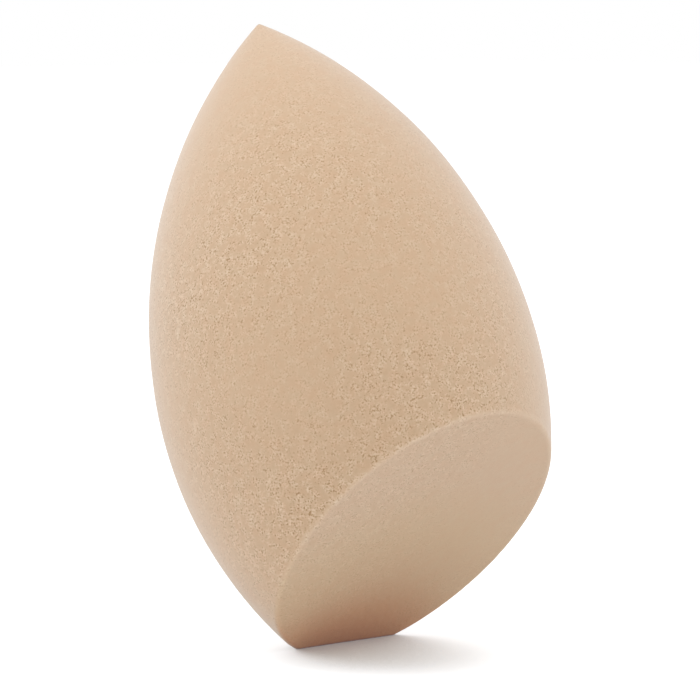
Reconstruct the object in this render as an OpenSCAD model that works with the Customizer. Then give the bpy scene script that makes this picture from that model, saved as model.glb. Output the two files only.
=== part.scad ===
/* [Foam block] */
// Diameter at the widest circle of the block
body_d = 43; // [36:0.5:50]
// Height of the pointed end, from the widest circle up to where its sides would meet
nose_l = 43.2; // [34:0.2:54]
// Depth of the round end, from the widest circle down to where it would close if it weren't cut
tail_l = 39; // [32:0.5:50]
// Radius of the soft tip
tip_r = 0.5; // [0.2:0.1:3]

/* [Slanted face] */
// Distance down the axis from the widest circle to the face
face_drop = 20.4; // [16:0.2:24]
// Angle between the face and a cut made square to the axis
face_slant = 29.4; // [20:0.2:34]
// Radius of the soft rim round the face
rim_r = 0.5; // [0.3:0.1:1.5]

/* [Stand] */
// Lean of the axis away from upright, tip to the back
lean = 20.7; // [12:0.1:28]
// Height of the foam that is pressed flat where the lowest corner stands
foot_trim = 1.6; // [0.6:0.1:3]

/* [Hidden] */

foam_tint = [0.83, 0.71, 0.58];
// Straight steps along each long arc and along the tip, and the sides of the turned block
long_steps = 40;
tip_steps = 6;
turn_fn = 180;
// Sections round the rim, and flat steps across its bend
rim_sections = 60;
bend_steps = 3;
// Overrun of the rim's cutter past the faces that it cuts
cut_over = 0.4;

body_r = body_d / 2;
block_l = nose_l + tail_l;

// Radius of an arc that is upright at the widest circle and meets the axis at this rise
function bow_r(rise) = (body_r * body_r + rise * rise) / (2 * body_r);

// Points of an arc about its centre, from one angle to another
function arc(centre, r, from, to, steps) = [
    for (i = [0 : steps])
        let (a = from + (to - from) * i / steps)
        centre + r * [cos(a), sin(a)]
];

// Length of a ray from inside a circle out to the circle, along a unit direction
function reach(from, dir, centre, r) =
    let (v = from - centre, h = v * dir)
    sqrt(h * h - v * v + r * r) - h;

// A vector of any length, made one unit long
function unit(v) = v / norm(v);

// A point [y, z] of the upright block after its axis leans
function leaned(p) = [
    p[0] * cos(lean) + p[1] * sin(lean),
    p[1] * cos(lean) - p[0] * sin(lean)
];

// The pointed end is one long arc, and the tip's own small arc touches it from inside
nose_r = bow_r(nose_l);
nose_centre = [body_r - nose_r, 0];
tip_centre = [0, sqrt(pow(nose_r - tip_r, 2) - pow(nose_r - body_r, 2))];
tip_angle = atan2(tip_centre[1], nose_r - body_r);

// The round end is another long arc, which the slanted face cuts short
tail_r = bow_r(tail_l);
tail_centre = [body_r - tail_r, 0];
tail_angle = atan2(tail_l, tail_r - body_r);

// The face crosses the axis at face_mid and runs up and down its slope to the round end
face_mid = [0, -face_drop];
face_out = [0, -sin(face_slant), -cos(face_slant)];
function face_end(slope) =
    let (dir = [cos(slope), sin(slope)])
    face_mid + dir * reach(face_mid, dir, tail_centre, tail_r);
face_front = face_end(face_slant);
face_back = face_end(-face_slant);

// The flat foot at the lowest corner of the leaning block, from its front edge to its back edge
corner = leaned(face_back);
foot_front = corner + foot_trim * [-1 / tan(lean + face_slant), 1];
foot_depth = reach(foot_front, [1, 0], leaned(tail_centre), tail_r);
foot_mid = foot_front + [foot_depth / 2, 0];

// A point on the crisp rim of the face; half a turn goes from the back corner to the front
function rim_point(turn) =
    let (
        rise = (1 - cos(turn)) / 2,
        z = face_back[1] + rise * (face_front[1] - face_back[1]),
        y = -(z - face_mid[1]) / tan(face_slant),
        half = tail_centre[0] + sqrt(tail_r * tail_r - z * z)
    )
    [sign(sin(turn)) * sqrt(max(0, half * half - y * y)), y, z];

// Outward direction of the round end at a point on it
function side_out(p) =
    let (half = norm([p[0], p[1]]), level = (half - tail_centre[0]) / tail_r)
    [p[0] * level / half, p[1] * level / half, p[2] / tail_r];

// One section of the rim's cutter: a corner outside the foam, and the bend from side to face
function rim_section(p) =
    let (
        side = side_out(p),
        apex = (side + face_out) / (1 + side * face_out),
        bend = acos(side * face_out),
        across = unit(face_out - cos(bend) * side),
        curve = [
            for (i = [0 : bend_steps])
                let (a = bend * i / bend_steps)
                p + rim_r * (cos(a) * side + sin(a) * across - apex)
        ],
        before = cut_over * unit(curve[0] - curve[1]),
        after = cut_over * unit(curve[bend_steps] - curve[bend_steps - 1])
    )
    [
        p + cut_over * apex,
        curve[0] + before,
        for (i = [1 : bend_steps - 1]) curve[i],
        curve[bend_steps] + after
    ];

// The sliver of foam outside the soft rim, as a closed ring of sections
module rim_cutter() {
    ring = [for (i = [0 : rim_sections - 1]) rim_section(rim_point((i + 0.5) * 360 / rim_sections))];
    n = len(ring[0]);
    count = rim_sections * n;
    faces = [
        for (i = [0 : rim_sections - 1], j = [0 : n - 1])
            let (
                a = i * n + j,
                b = i * n + (j + 1) % n,
                c = (b + n) % count,
                d = (a + n) % count
            )
            each [[a, c, b], [a, d, c]]
    ];
    polyhedron([for (section = ring, p = section) p], faces);
}

// Half of the block's outline, from the closed round end up to the tip
module half_outline() {
    tail_arc = arc(tail_centre, tail_r, -tail_angle, 0, long_steps);
    nose_arc = arc(nose_centre, nose_r, 0, tip_angle, long_steps);
    tip_arc = arc(tip_centre, tip_r, tip_angle, 90, tip_steps);
    polygon(concat(tail_arc, nose_arc, tip_arc));
}

// Everything below the face of a cut that passes through the origin
module below() {
    translate([-block_l, -block_l, -2 * block_l])
        cube(2 * block_l);
}

// The sponge stands on its foot, whose middle is the origin
module foam_body() {
    color(foam_tint)
        translate([0, -foot_mid[0], -foot_mid[1]])
            difference() {
                rotate([-lean, 0, 0])
                    difference() {
                        rotate_extrude($fn = turn_fn)
                            half_outline();
                        translate([0, 0, -face_drop])
                            rotate([-face_slant, 0, 0])
                                below();
                        rim_cutter();
                    }
                translate([0, 0, foot_mid[1]])
                    below();
            }
}

foam_body();
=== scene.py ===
import math

import bpy
import numpy as np
from mathutils import Matrix, Vector, noise


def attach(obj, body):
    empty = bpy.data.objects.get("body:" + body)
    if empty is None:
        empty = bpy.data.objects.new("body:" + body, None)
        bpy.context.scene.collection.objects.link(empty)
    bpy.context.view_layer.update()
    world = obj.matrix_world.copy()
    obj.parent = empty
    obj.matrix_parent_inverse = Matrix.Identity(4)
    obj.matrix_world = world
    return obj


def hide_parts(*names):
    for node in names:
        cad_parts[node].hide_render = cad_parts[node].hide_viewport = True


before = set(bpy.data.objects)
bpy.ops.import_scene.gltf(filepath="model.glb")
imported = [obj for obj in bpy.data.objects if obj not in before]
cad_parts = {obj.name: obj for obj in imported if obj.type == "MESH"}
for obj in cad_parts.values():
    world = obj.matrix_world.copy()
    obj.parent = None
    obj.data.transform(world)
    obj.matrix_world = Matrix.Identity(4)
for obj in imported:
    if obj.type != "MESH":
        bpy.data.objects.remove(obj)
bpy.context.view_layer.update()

MM = 0.001

# Foam block: two long arcs meet upright at the widest circle, and a small arc closes the tip
BODY_R = 21.5 * MM
NOSE_L = 43.2 * MM
TAIL_L = 39 * MM
TIP_R = 0.5 * MM

# Slanted face, with a soft rim
FACE_DROP = 20.4 * MM
FACE_SLANT = math.radians(29.4)
RIM_R = 0.5 * MM

# Stand: the axis leans back, and the lowest corner is pressed flat
LEAN = math.radians(20.7)
FOOT_TRIM = 1.6 * MM

# Mesh: columns round the block, rings along it, and the side that a face should have
COLUMNS = 448
FEWEST_COLUMNS = 7
SIDE_RINGS = 250
BEND_RINGS = 6
FACE_RINGS = 58
TIP_CROWDING = 1.15
MESH_STEP = 0.3 * MM
# How late the rings of the side turn to meet the rim's own columns: the power of their place
RIM_PULL = 3

# Foam surface: height and width of its slow waves and of its grain
WAVE_H, WAVE_W = 0.05 * MM, 9 * MM
GRAIN_H, GRAIN_W = 0.012 * MM, 0.5 * MM

# How far the painted highlight along the ridge of the rim reaches to each side
RIDGE_HIGHLIGHT_W = 0.3 * MM

# Foam pattern: width and roughness of its fine spots, width of their slow drift, and the spacing of
# its pores, with the share of places that have one, their largest radius and the soft edge inside it
SPOT_W, SPOT_ROUGHNESS = 0.2 * MM, 0.6
DRIFT_W = 0.8 * MM
PORE_SPACING, PORE_SHARE = 0.25 * MM, 0.5
PORE_R, PORE_EDGE = 0.11 * MM, 0.06 * MM
# Slope and start of the lines that pick pits and crumbs out of the spots and crowd them by the drift
PITS, CRUMBS, CROWD = (-9.0, 4.0), (8.0, -4.3), (6.0, -2.3)
# How far each form moves the tone, and their mean, which is taken off
CRUMB_LIFT, PIT_LIFT, SPOT_LIFT = 0.18, -0.42, 0.1
DRIFT_LIFT, PORE_LIFT, MEAN_LIFT = 0.3, -0.28, 0.185
# Tone of the plain surface, and how much paler the painted highlight makes the ridge
PLAIN_TONE, RIDGE_HIGHLIGHT_LIFT = 0.5, 0.22

# Foam colours by tone: deep in a pore or pit, darkened with painted shade, on the plain surface, and on
# a raised crumb
FOAM_AND_PORE_SHADE_COLOURS = (
    (0.0, (0.4, 0.25, 0.12, 1)),
    (0.5, (0.63, 0.448, 0.294, 1)),
    (1.0, (0.8, 0.63, 0.465, 1)),
)
# How marked the foam's pattern is: it changes slowly from place to place with a wide cloud, which
# the shift sets out, from the most where the cloud is at its low level to the least at its high
# level, and it keeps this share on the smoother cut face
MARKED_W, MARKED_SHIFT = 23 * MM, Vector((149, -195, 364)) * MM
MARKED_LOW, MARKED_HIGH = 0.3, 0.7
MARKED_MOST, MARKED_LEAST = 1.4, 0.2
MARKED_ON_FACE = 0.65
# Soft pinker patches: their width, the slope and start of their line, and what they leave of each
# colour
BLUSH_W, BLUSH = 1.2 * MM, (2.5, -0.75)
BLUSH_COLOUR = (1, 0.96, 0.94, 1)
# Foam's finish: slope and start of its roughness by tone, its gloss, its sheen and its relief
ROUGH = (-0.2, 1.0)
GLOSS, SHEEN, SHEEN_ROUGH = 0.2, 0.6, 0.5
BUMP_SHARE, BUMP_H = 0.5, 0.06 * MM

# Rays that measure how open a spot is
OPEN_RAYS = 16

# Painted shade: the cut face is painted darker and browner as the floor closes in on it, most of all
# over the middle of the foot: how far around it the floor counts, the half width over which the painted
# shade fades out to the sides, and the share of each colour that is left by how closed in the foam is
SHADE_REACH = 20 * MM
SHADE_HALF_W = 35 * MM
PAINTED_SHADES = (
    (0.0, (1, 1, 1, 1)),
    (0.35, (1, 1, 0.92, 1)),
    (0.6, (1, 0.95, 0.83, 1)),
    (0.75, (0.9, 0.6, 0.37, 1)),
    (0.9, (0.53, 0.15, 0.02, 1)),
)

# Camera: its turn and height round the object, its distance, and the point that it aims at
CAM_AZIMUTH = math.radians(-43.085)
CAM_ELEVATION = math.radians(5.034)
CAM_DISTANCE = 450 * MM
CAM_AIM = Vector((5.343, 3.381, 32.096)) * MM
CAM_LENS, CAM_SENSOR = 204.9, 36

# Studio: soft boxes by their turn to the right of the camera, their height, power and colour
LAMP_SIZE, LAMP_DISTANCE = 500 * MM, 800 * MM
LAMP_AIM = Vector((0, 0, 30)) * MM
LAMPS = {
    "top": (0, 88, 1.82, (1, 1, 1)),
    "left": (-90, 35, 1.24, (0.95, 1, 1.06)),
    "right": (90, 35, 0.51, (1, 1, 1)),
}
AMBIENT = 0.79

# White paper: its matt shade, the share of that shade which the camera sees, and its glow, which only
# camera, glossy and transmission rays see. A painted shadow is cut into the glow by what stands within a
# short reach on one fixed side, low and behind the object: it takes all of the glow at the first open
# share, and none at the second.
PAPER_HALF = 3000 * MM
PAPER_SHADE = 0.85
PAPER_MATT_SHARE = 0.7
GLOW = 0.7
GLOW_COLOUR = (0.97, 1, 1.03, 1)
GLOW_AZIMUTH, GLOW_RISE = math.radians(142), math.radians(12)
GLOW_REACH = 30 * MM
GLOW_FROM, GLOW_TO = 0.4, 0.7


def bow_r(rise):
    """Radius of an arc that is upright at the widest circle and meets the axis at this rise."""
    return (BODY_R**2 + rise**2) / (2 * BODY_R)


NOSE_R, TAIL_R = bow_r(NOSE_L), bow_r(TAIL_L)
NOSE_X, TAIL_X = BODY_R - NOSE_R, BODY_R - TAIL_R
TIP_Z = math.sqrt((NOSE_R - TIP_R)**2 - NOSE_X**2)
TIP_ANGLE = math.atan2(TIP_Z, -NOSE_X)
FACE_OUT = np.array((0, -math.sin(FACE_SLANT), -math.cos(FACE_SLANT)))
FACE_MID = np.array((0, 0, -FACE_DROP))


def reach(point, way, centre_x, radius):
    """Length of a ray in the plane of a profile, from inside a circle out to the circle."""
    from_centre = (point[0] - centre_x, point[1])
    along = from_centre[0] * way[0] + from_centre[1] * way[1]
    off = from_centre[0]**2 + from_centre[1]**2
    return np.sqrt(along**2 - off + radius**2) - along


def unit(v):
    return v / np.linalg.norm(v, axis=-1, keepdims=True)


def profile(length):
    """Half width and height on the block's outline, at a length along it from the top of the tip."""
    tip_arc = TIP_R * (math.pi / 2 - TIP_ANGLE)
    nose_arc = NOSE_R * TIP_ANGLE
    tip = math.pi / 2 - length / TIP_R
    nose = TIP_ANGLE - (length - tip_arc) / NOSE_R
    tail = -(length - tip_arc - nose_arc) / TAIL_R
    on_tip, on_nose = length < tip_arc, length < tip_arc + nose_arc
    half = np.where(
        on_tip,
        TIP_R * np.cos(tip),
        np.where(on_nose, NOSE_X + NOSE_R * np.cos(nose), TAIL_X + TAIL_R * np.cos(tail)),
    )
    height = np.where(
        on_tip,
        TIP_Z + TIP_R * np.sin(tip),
        np.where(on_nose, NOSE_R * np.sin(nose), TAIL_R * np.sin(tail)),
    )
    return half, height


def around(half, turn, height):
    return np.stack((half * np.cos(turn), half * np.sin(turn), height), axis=-1)


def rim_rings(turn):
    """The soft rim: rings that roll from the side of the block over to its slanted face."""
    slope = -np.sin(turn) * math.tan(FACE_SLANT)
    steep = np.sqrt(1 + slope**2)
    way = (1 / steep, slope / steep)
    out = reach((0, -FACE_DROP), way, TAIL_X, TAIL_R)
    half, height = way[0] * out, -FACE_DROP + way[1] * out
    crisp = around(half, turn, height)
    side = around((half - TAIL_X) / TAIL_R, turn, height / TAIL_R)
    between = side @ FACE_OUT
    centre = crisp - RIM_R * (side + FACE_OUT) / (1 + between)[:, None]
    bend = np.arccos(between)
    across = unit(FACE_OUT - between[:, None] * side)
    shares = np.linspace(0, 1, BEND_RINGS)
    return [
        centre + RIM_R * (np.cos(bend * s)[:, None] * side + np.sin(bend * s)[:, None] * across)
        for s in shares
    ]


def side_rings(turn, rim):
    """Rings from the tip down the side to the rim's first ring, at even shares of their length."""
    rim_turn = turn + np.arcsin(np.sin(np.arctan2(rim[:, 1], rim[:, 0]) - turn))
    down = TIP_R * (math.pi / 2 - TIP_ANGLE) + NOSE_R * TIP_ANGLE
    total = down + TAIL_R * np.arcsin(-rim[:, 2] / TAIL_R)
    rings = []
    for i in range(1, SIDE_RINGS):
        share = (i / SIDE_RINGS)**TIP_CROWDING
        half, height = profile(share * total)
        rings.append(around(half, turn + (rim_turn - turn) * share**RIM_PULL, height))
    return rings


def face_rings(rim):
    """Rings from the rim's last ring in to the middle of the face."""
    return [FACE_MID + (rim - FACE_MID) * (1 - i / FACE_RINGS) for i in range(1, FACE_RINGS)]


def columns_of(ring):
    """How many columns a ring needs: the full count, halved while its faces are too narrow."""
    girth = np.linalg.norm(ring - np.roll(ring, 1, axis=0), axis=1).sum()
    count = COLUMNS
    while count > FEWEST_COLUMNS and girth / count < MESH_STEP / math.sqrt(2):
        count //= 2
    return count


def stitch(upper, lower):
    """Faces between two rings of vertex numbers, where one may have twice the columns."""
    a, b = len(upper), len(lower)
    if a == b:
        return [(upper[i], lower[i], lower[(i + 1) % a], upper[(i + 1) % a]) for i in range(a)]
    faces = []
    if a < b:
        for i in range(a):
            u0, u1 = upper[i], upper[(i + 1) % a]
            l0, l1, l2 = lower[2 * i], lower[2 * i + 1], lower[(2 * i + 2) % b]
            faces += [(u0, l0, l1), (u0, l1, u1), (u1, l1, l2)]
        return faces
    for i in range(b):
        l0, l1 = lower[i], lower[(i + 1) % b]
        u0, u1, u2 = upper[2 * i], upper[2 * i + 1], upper[(2 * i + 2) % a]
        faces += [(u0, l0, u1), (u1, l0, l1), (u1, l1, u2)]
    return faces


def block_mesh():
    """The block upright on its axis, with the widest circle at height 0.

    Returns its points, its faces, and for each point how far it is on the cut face (0 to 1) and
    how much painted highlight it takes (1 on the ridge of the rim).
    """
    turn = -math.pi / 2 + 2 * math.pi * np.arange(COLUMNS) / COLUMNS
    rim = rim_rings(turn)
    ridge = rim[BEND_RINGS // 2]
    on_side, on_face = side_rings(turn, rim[0]), face_rings(rim[-1])
    share = [0] * len(on_side) + list(np.linspace(0, 1, BEND_RINGS)) + [1] * len(on_face)
    points, cut, ridge_highlight = [np.array([[0, 0, TIP_Z + TIP_R]])], [[0]], [[0]]
    faces = []
    count, last = 1, [0]
    for ring, on_cut in zip([*on_side, *rim, *on_face], share):
        n = columns_of(ring)
        from_ridge = np.linalg.norm(ring - ridge, axis=1)
        points.append(ring[::COLUMNS // n])
        cut.append([on_cut] * n)
        ridge_highlight.append(np.exp(-(from_ridge / RIDGE_HIGHLIGHT_W)**2)[::COLUMNS // n])
        new = list(range(count, count + n))
        if len(last) == 1:
            faces += [(last[0], new[i], new[(i + 1) % n]) for i in range(n)]
        else:
            faces += stitch(last, new)
        count, last = count + n, new
    points.append(FACE_MID[None])
    cut.append([1])
    ridge_highlight.append([0])
    faces += [(last[i], count, last[(i + 1) % len(last)]) for i in range(len(last))]
    return np.concatenate(points), faces, np.concatenate(cut), np.concatenate(ridge_highlight)


def stand(points):
    """Leans the block back and sets the middle of its foot at the origin."""
    tilt = np.array(Matrix.Rotation(-LEAN, 3, "X"))
    way = (math.cos(FACE_SLANT), -math.sin(FACE_SLANT))
    out = reach((0, -FACE_DROP), way, TAIL_X, TAIL_R)
    corner = tilt @ np.array((0, way[0] * out, -FACE_DROP + way[1] * out))
    front_y = corner[1] - FOOT_TRIM / math.tan(LEAN + FACE_SLANT)
    front_z = corner[2] + FOOT_TRIM
    tail = tilt @ np.array((0, TAIL_X, 0))
    back_y = tail[1] + math.sqrt(TAIL_R**2 - (front_z - tail[2])**2)
    return points @ tilt.T - np.array((0, (front_y + back_y) / 2, front_z))


def placed(name, data):
    """A new object in the scene, made from its data."""
    made = bpy.data.objects.new(name, data)
    bpy.context.collection.objects.link(made)
    return made


def roughened(mesh, points):
    """Points moved in and out along their normals by the slow waves and the grain of the foam."""
    normals = np.empty(len(points) * 3)
    mesh.vertex_normals.foreach_get("vector", normals)
    normals = normals.reshape(-1, 3)
    wave = [noise.noise(Vector(p) / WAVE_W) for p in points]
    grain = [noise.noise(Vector(p) / GRAIN_W) for p in points]
    return points + normals * (WAVE_H * np.array(wave) + GRAIN_H * np.array(grain))[:, None]


def foam_piece():
    points, faces, cut, ridge_highlight = block_mesh()
    points = stand(points)
    mesh = bpy.data.meshes.new("foam")
    mesh.from_pydata(points.tolist(), [], faces)
    points = roughened(mesh, points)
    points[:, 2] = np.maximum(points[:, 2], 0)
    mesh.vertices.foreach_set("co", points.ravel())
    # Point attributes: the share on the cut face, and the painted highlight on the ridge
    for name, values in (("cut", cut), ("ridge_highlight", ridge_highlight)):
        mesh.attributes.new(name, "FLOAT", "POINT").data.foreach_set("value", values)
    mesh.shade_smooth()
    mesh.update()
    return placed("foam", mesh)


def bare_material(name):
    """A new material with an empty node tree."""
    material = bpy.data.materials.new(name)
    material.use_nodes = True
    material.node_tree.nodes.clear()
    return material


def node(tree, kind, place, **values):
    made = tree.nodes.new(kind)
    made.location = place
    for name, value in values.items():
        setattr(made, name, value)
    return made


def put(tree, socket, value):
    """Links an output to a socket, or sets the socket's own value."""
    if isinstance(value, bpy.types.NodeSocket):
        tree.links.new(value, socket)
    else:
        socket.default_value = value


def maths(tree, operation, place, *inputs, clamp=False):
    made = node(tree, "ShaderNodeMath", place, operation=operation, use_clamp=clamp)
    for socket, value in zip(made.inputs, inputs):
        put(tree, socket, value)
    return made.outputs[0]


def ramp(tree, place, value, stops):
    """Colour by value, through stops of a position and a colour each."""
    made = node(tree, "ShaderNodeValToRGB", place)
    put(tree, made.inputs[0], value)
    elements = made.color_ramp.elements
    while len(elements) < len(stops):
        elements.new(0.5)
    for element, (position, colour) in zip(elements, stops):
        element.position = position
        element.color = colour
    return made.outputs[0]


def tinted(tree, place, share, colour, tint):
    """A colour multiplied by a tint, in this share."""
    made = node(tree, "ShaderNodeMix", place, data_type="RGBA", blend_type="MULTIPLY")
    put(tree, made.inputs[0], share)
    put(tree, made.inputs[6], colour)
    put(tree, made.inputs[7], tint)
    return made.outputs[2]


def cloud(tree, place, where, width, roughness=0.5):
    """Soft noise from 0 to 1, whose largest forms have this width."""
    made = node(tree, "ShaderNodeTexNoise", place)
    put(tree, made.inputs["Vector"], where)
    put(tree, made.inputs["Scale"], 1 / width)
    put(tree, made.inputs["Detail"], 1)
    put(tree, made.inputs["Roughness"], roughness)
    return made.outputs[0]


def dots(tree, place, where, spacing, share, radius, edge):
    """Scattered round dots from 0 to 1, in this share of the cells, of mixed sizes up to a radius."""
    x, y = place
    cells = node(tree, "ShaderNodeTexVoronoi", place, feature="F1")
    put(tree, cells.inputs["Vector"], where)
    put(tree, cells.inputs["Scale"], 1 / spacing)
    pick = node(tree, "ShaderNodeSeparateColor", (x + 200, y - 100))
    put(tree, pick.inputs[0], cells.outputs["Color"])
    size = node(tree, "ShaderNodeMapRange", (x + 400, y - 100))
    put(tree, size.inputs["Value"], pick.outputs[0])
    put(tree, size.inputs["From Min"], 1 - share)
    put(tree, size.inputs["To Max"], radius / spacing)
    inside = maths(tree, "SUBTRACT", (x + 600, y), size.outputs[0], cells.outputs["Distance"])
    return maths(tree, "MULTIPLY", (x + 800, y), inside, spacing / edge, clamp=True)


def marked(tree, where, cut):
    """How marked the pattern of the foam is at each spot."""
    shifted = node(tree, "ShaderNodeVectorMath", (-2100, 0), operation="ADD")
    put(tree, shifted.inputs[0], where)
    put(tree, shifted.inputs[1], MARKED_SHIFT)
    wide = cloud(tree, (-1900, 0), shifted.outputs[0], MARKED_W)
    strength = node(tree, "ShaderNodeMapRange", (-1500, 0))
    put(tree, strength.inputs["Value"], wide)
    put(tree, strength.inputs["From Min"], MARKED_LOW)
    put(tree, strength.inputs["From Max"], MARKED_HIGH)
    put(tree, strength.inputs["To Min"], MARKED_MOST)
    put(tree, strength.inputs["To Max"], MARKED_LEAST)
    on_face = maths(tree, "MULTIPLY_ADD", (-1500, -200), cut, MARKED_ON_FACE - 1, 1.0)
    return maths(tree, "MULTIPLY", (-1200, -100), strength.outputs[0], on_face)


def foam_tone(tree, where, cut):
    """How pale each spot of the foam is: 0 deep in a pore (painted shade), 0.5 on the plain
    surface, 1 on a crumb.
    """
    spots = cloud(tree, (-1900, 500), where, SPOT_W, SPOT_ROUGHNESS)
    drift = cloud(tree, (-1900, 250), where, DRIFT_W)
    pores = dots(tree, (-2300, -250), where, PORE_SPACING, PORE_SHARE, PORE_R, PORE_EDGE)
    pits = maths(tree, "MULTIPLY_ADD", (-1500, 500), spots, *PITS, clamp=True)
    crumbs = maths(tree, "MULTIPLY_ADD", (-1500, 350), spots, *CRUMBS, clamp=True)
    crowd = maths(tree, "MULTIPLY_ADD", (-1500, 200), drift, *CROWD, clamp=True)
    lift = maths(tree, "MULTIPLY", (-1200, 500), crumbs, CRUMB_LIFT)
    lift = maths(tree, "MULTIPLY_ADD", (-1000, 500), pits, PIT_LIFT, lift)
    lift = maths(tree, "MULTIPLY", (-800, 400), lift, crowd)
    lift = maths(tree, "MULTIPLY_ADD", (-600, 400), spots, SPOT_LIFT, lift)
    lift = maths(tree, "MULTIPLY_ADD", (-600, 200), drift, DRIFT_LIFT, lift)
    lift = maths(tree, "MULTIPLY_ADD", (-600, 0), pores, PORE_LIFT, lift)
    lift = maths(tree, "SUBTRACT", (-500, 0), lift, MEAN_LIFT)
    return maths(tree, "MULTIPLY_ADD", (-400, 0), lift, marked(tree, where, cut), PLAIN_TONE)


def closed_in(tree, where):
    """How much the floor closes the foam in, from 0 to 1, less to the sides of the foot, for the painted
    shade.
    """
    around_it = node(tree, "ShaderNodeAmbientOcclusion", (-1000, 700), samples=OPEN_RAYS)
    put(tree, around_it.inputs["Distance"], SHADE_REACH)
    closed = maths(tree, "SUBTRACT", (-800, 700), 1.0, around_it.outputs["AO"])
    axes = node(tree, "ShaderNodeSeparateXYZ", (-1000, 900))
    put(tree, axes.inputs[0], where)
    aside = maths(tree, "DIVIDE", (-800, 900), axes.outputs["X"], SHADE_HALF_W)
    return maths(tree, "SUBTRACT", (-400, 800), closed, maths(tree, "MULTIPLY", (-600, 900), aside, aside))


def foam_material():
    """Fine open-cell foam in one warm beige: soft grain, scattered pores darkened with painted
    shade, and small pale crumbs.
    """
    material = bare_material("sponge_foam")
    tree = material.node_tree
    out = node(tree, "ShaderNodeOutputMaterial", (900, 0))
    shader = node(tree, "ShaderNodeBsdfPrincipled", (600, 0))
    put(tree, out.inputs["Surface"], shader.outputs[0])
    where = node(tree, "ShaderNodeTexCoord", (-2200, 0)).outputs["Object"]
    cut = node(tree, "ShaderNodeAttribute", (-2200, -300), attribute_name="cut").outputs["Fac"]
    ridge_highlight = node(tree, "ShaderNodeAttribute", (-600, 400), attribute_name="ridge_highlight").outputs["Fac"]
    tone = foam_tone(tree, where, cut)
    # Painted highlight: the ridge of the rim is made paler
    highlit_tone = maths(tree, "MULTIPLY_ADD", (-200, 200), ridge_highlight, RIDGE_HIGHLIGHT_LIFT, tone)

    patches = cloud(tree, (-200, 400), where, BLUSH_W)
    patches = maths(tree, "MULTIPLY_ADD", (0, 400), patches, *BLUSH, clamp=True)
    colour = tinted(tree, (300, 200), patches, ramp(tree, (0, 200), highlit_tone, FOAM_AND_PORE_SHADE_COLOURS), BLUSH_COLOUR)
    # Painted shade: the cut face darkened and browned where the floor closes in on it
    painted_shade = ramp(tree, (0, 700), closed_in(tree, where), PAINTED_SHADES)
    put(tree, shader.inputs["Base Color"], tinted(tree, (500, 300), cut, colour, painted_shade))

    put(tree, shader.inputs["Roughness"], maths(tree, "MULTIPLY_ADD", (200, -100), tone, *ROUGH))
    put(tree, shader.inputs["Specular IOR Level"], GLOSS)
    put(tree, shader.inputs["Sheen Weight"], SHEEN)
    put(tree, shader.inputs["Sheen Roughness"], SHEEN_ROUGH)

    bump = node(tree, "ShaderNodeBump", (300, -300))
    put(tree, bump.inputs["Strength"], BUMP_SHARE)
    put(tree, bump.inputs["Distance"], BUMP_H)
    put(tree, bump.inputs["Height"], tone)
    put(tree, shader.inputs["Normal"], bump.outputs[0])
    return material


def seen_directly(tree, place):
    """1 for what the camera sees, also in a reflection or through glass, and 0 for light on a surface."""
    x, y = place
    path = node(tree, "ShaderNodeLightPath", place)
    seen = maths(tree, "ADD", (x + 200, y), path.outputs["Is Camera Ray"], path.outputs["Is Glossy Ray"])
    return maths(tree, "ADD", (x + 400, y), seen, path.outputs["Is Transmission Ray"], clamp=True)


def paper_material():
    """Paper that glows for the camera so it's white away from the object, with a painted shadow near it.
    """
    material = bare_material("paper")
    tree = material.node_tree
    out = node(tree, "ShaderNodeOutputMaterial", (600, 0))
    both = node(tree, "ShaderNodeAddShader", (400, 0))
    seen = seen_directly(tree, (-800, 0))

    matt = node(tree, "ShaderNodeBsdfDiffuse", (200, 100))
    lost = PAPER_SHADE * (PAPER_MATT_SHARE - 1)
    put(tree, matt.inputs["Color"], maths(tree, "MULTIPLY_ADD", (0, 100), seen, lost, PAPER_SHADE))

    # Glow for the camera, dimmed into a painted shadow near the object
    glow = node(tree, "ShaderNodeEmission", (200, -100))
    put(tree, glow.inputs["Color"], GLOW_COLOUR)
    clear = node(tree, "ShaderNodeAmbientOcclusion", (-200, -300), samples=OPEN_RAYS)
    put(tree, clear.inputs["Distance"], GLOW_REACH)
    dimmed_from = node(tree, "ShaderNodeCombineXYZ", (-400, -300))
    for socket, part in zip(dimmed_from.inputs, outward(GLOW_AZIMUTH, GLOW_RISE)):
        put(tree, socket, part)
    put(tree, clear.inputs["Normal"], dimmed_from.outputs[0])
    left = node(tree, "ShaderNodeMapRange", (0, -300))
    put(tree, left.inputs["Value"], clear.outputs["AO"])
    put(tree, left.inputs["From Min"], GLOW_FROM)
    put(tree, left.inputs["From Max"], GLOW_TO)
    put(tree, left.inputs["To Max"], GLOW)
    put(tree, glow.inputs["Strength"], maths(tree, "MULTIPLY", (0, -100), seen, left.outputs[0]))

    put(tree, both.inputs[0], matt.outputs[0])
    put(tree, both.inputs[1], glow.outputs[0])
    put(tree, out.inputs["Surface"], both.outputs[0])
    return material


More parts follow.
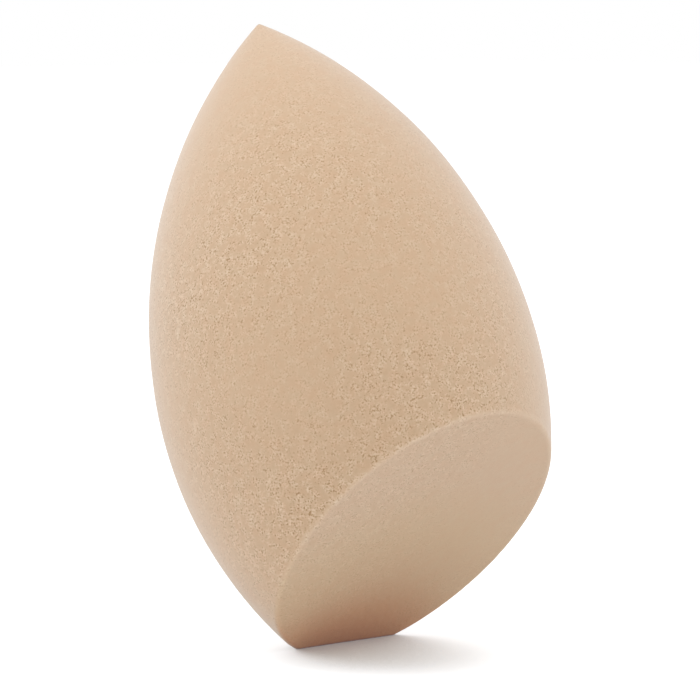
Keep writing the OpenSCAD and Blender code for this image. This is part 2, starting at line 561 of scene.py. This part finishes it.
def paper():
    corners = [Vector((x, y, 0)) * PAPER_HALF for x, y in ((-1, -1), (1, -1), (1, 1), (-1, 1))]
    mesh = bpy.data.meshes.new("paper")
    mesh.from_pydata(corners, [], [(0, 1, 2, 3)])
    mesh.materials.append(paper_material())
    placed("paper", mesh)


def backdrop():
    """Pure white all round, with a lower even light on the object."""
    made = bpy.data.worlds.new("backdrop")
    bpy.context.scene.world = made
    made.use_nodes = True
    tree = made.node_tree
    tree.nodes.clear()
    out = node(tree, "ShaderNodeOutputWorld", (200, 0))
    white = node(tree, "ShaderNodeBackground", (0, 0))
    put(tree, white.inputs["Color"], (1, 1, 1, 1))
    seen = seen_directly(tree, (-800, 0))
    put(tree, white.inputs["Strength"], maths(tree, "MULTIPLY_ADD", (-200, 0), seen, 1 - AMBIENT, AMBIENT))
    put(tree, out.inputs["Surface"], white.outputs[0])


def outward(azimuth, elevation):
    """Direction from the object out to a camera or lamp. Azimuth 0 is towards -Y."""
    return Vector((
        math.sin(azimuth) * math.cos(elevation),
        -math.cos(azimuth) * math.cos(elevation),
        math.sin(elevation),
    ))


def aimed(made, aim, distance, out):
    """Sets a camera or lamp at a distance from the point that it looks at."""
    made.location = aim + distance * out
    made.rotation_euler = (-out).to_track_quat("-Z", "Y").to_euler()


def lamp(name, turn, rise, power, colour):
    """A square soft box, turned to the right of the camera and raised, both in degrees."""
    data = bpy.data.lights.new(name, "AREA")
    data.shape = "SQUARE"
    data.size = LAMP_SIZE
    data.energy = power
    data.color = colour
    out = outward(CAM_AZIMUTH + math.radians(turn), math.radians(rise))
    aimed(placed(name, data), LAMP_AIM, LAMP_DISTANCE, out)


def camera():
    data = bpy.data.cameras.new("camera")
    data.sensor_width = CAM_SENSOR
    data.lens = CAM_LENS
    made = placed("camera", data)
    aimed(made, CAM_AIM, CAM_DISTANCE, outward(CAM_AZIMUTH, CAM_ELEVATION))
    bpy.context.scene.camera = made


foam = foam_piece()
foam.data.materials.append(foam_material())
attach(foam, "root")
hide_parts("foam_body")

paper()
backdrop()
camera()
for lamp_name, setting in LAMPS.items():
    lamp(lamp_name, *setting)

bpy.context.scene.view_settings.view_transform = "Standard"
